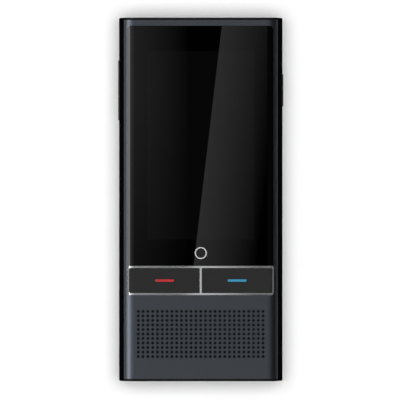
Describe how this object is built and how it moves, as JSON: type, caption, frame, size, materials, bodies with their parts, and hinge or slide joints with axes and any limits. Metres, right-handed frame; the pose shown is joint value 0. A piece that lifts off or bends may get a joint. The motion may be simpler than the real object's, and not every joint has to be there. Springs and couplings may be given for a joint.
{
  "type": "handheld translator",
  "caption": "Slim handheld translator with a crowned glass front, two talk keys in a bright bezel, a drilled speaker grille and side keys.",
  "frame": {"origin": "middle of the flat back face, where the translator lies on a table", "axes": "+X to the right of the screen, +Y to the top end, +Z out of the screen"},
  "size_m": [0.0566, 0.1244, 0.0126],
  "materials": {
    "housing": "anodised dark grey, fine bead-blasted",
    "frame": "moulded, satin black",
    "glass_black": "black-backed cover glass, polished",
    "ring_print": "printed light grey line",
    "adhesive": "foam and film adhesive",
    "display": "liquid crystal display with backlight",
    "flex": "polyimide flexible circuit",
    "bezel": "bright satin metal",
    "keys": "fine matt moulded",
    "light_red": "translucent red light guide",
    "light_blue": "translucent blue light guide",
    "silicone": "soft silicone",
    "dome_metal": "spring steel",
    "board": "glass-fibre circuit board, green mask",
    "led": "phosphor and clear epoxy",
    "mesh": "blackened woven dust mesh",
    "steel": "stamped and plated",
    "side_keys": "satin moulded",
    "chips": "moulded epoxy",
    "battery": "foil pouch with wrap",
    "lens": "coated camera window",
    "lamp": "clear moulded lamp lens",
    "tray": "moulded, satin black"
  },
  "bodies": {
    "body": {"front_housing": "housing", "rear_cover": "housing", "mid_frame": "frame", "top_end_cap": "frame", "bottom_end_cap": "frame", "cover_glass": "glass_black", "home_ring": "ring_print", "glass_adhesive": "adhesive", "display_panel": "display", "display_flex": "flex", "key_bezel": "bezel", "red_dome": "dome_metal", "blue_dome": "dome_metal", "key_board": "board", "key_lights": "led", "speaker_mesh": "mesh", "speaker_gasket": "adhesive", "speaker_frame": "frame", "speaker_cone": "silicone", "speaker_magnet": "steel", "volume_switch_board": "flex", "volume_up_dome": "dome_metal", "volume_down_dome": "dome_metal", "power_switch_board": "flex", "power_dome": "dome_metal", "main_board": "board", "sub_board": "board", "board_screws": "steel", "shield_cans": "steel", "main_chips": "chips", "battery_connector": "chips", "board_ribbon": "flex", "battery": "battery", "battery_adhesive": "adhesive", "battery_lead": "flex", "camera_ring": "bezel", "camera_window": "lens", "camera_module": "chips", "lamp_lens": "lamp", "lamp_led": "led", "usb_shell": "steel", "usb_tongue": "chips", "top_microphone": "steel", "bottom_microphone": "steel", "top_antenna": "flex", "bottom_antenna": "flex", "card_cage": "steel"},
    "red_key": {"red_key_cap": "keys", "red_light_bar": "light_red", "red_key_pad": "silicone"},
    "blue_key": {"blue_key_cap": "keys", "blue_light_bar": "light_blue", "blue_key_pad": "silicone"},
    "volume": {"volume_rocker": "side_keys"},
    "power": {"power_key": "side_keys"},
    "tray": {"card_tray": "tray"}
  },
  "joints": [
    {"name": "red_key_press", "type": "slide", "parent": "body", "child": "red_key", "axis": [0, 0, -1], "range_m": [0, 0.0002], "stiffness_N_per_m": 2500, "springref_m": -0.0002, "deforming": ["red_dome"]},
    {"name": "blue_key_press", "type": "slide", "parent": "body", "child": "blue_key", "axis": [0, 0, -1], "range_m": [0, 0.0002], "stiffness_N_per_m": 2500, "springref_m": -0.0002, "deforming": ["blue_dome"]},
    {"name": "power_key_press", "type": "slide", "parent": "body", "child": "power", "axis": [-1, 0, 0], "range_m": [0, 0.0002], "stiffness_N_per_m": 2500, "springref_m": -0.0002, "deforming": ["power_dome"]},
    {"name": "volume_rock", "type": "hinge", "parent": "body", "child": "volume", "pos_m": [-0.0239, 0.0374, 0.0063], "axis": [0, 0, 1], "range_deg": [-1, 1], "stiffness_Nm_per_rad": 0.1, "deforming": ["volume_up_dome", "volume_down_dome"]},
    {"name": "tray_slide", "type": "slide", "parent": "body", "child": "tray", "axis": [0, 1, 0], "range_m": [0, 0.016]}
  ]
}
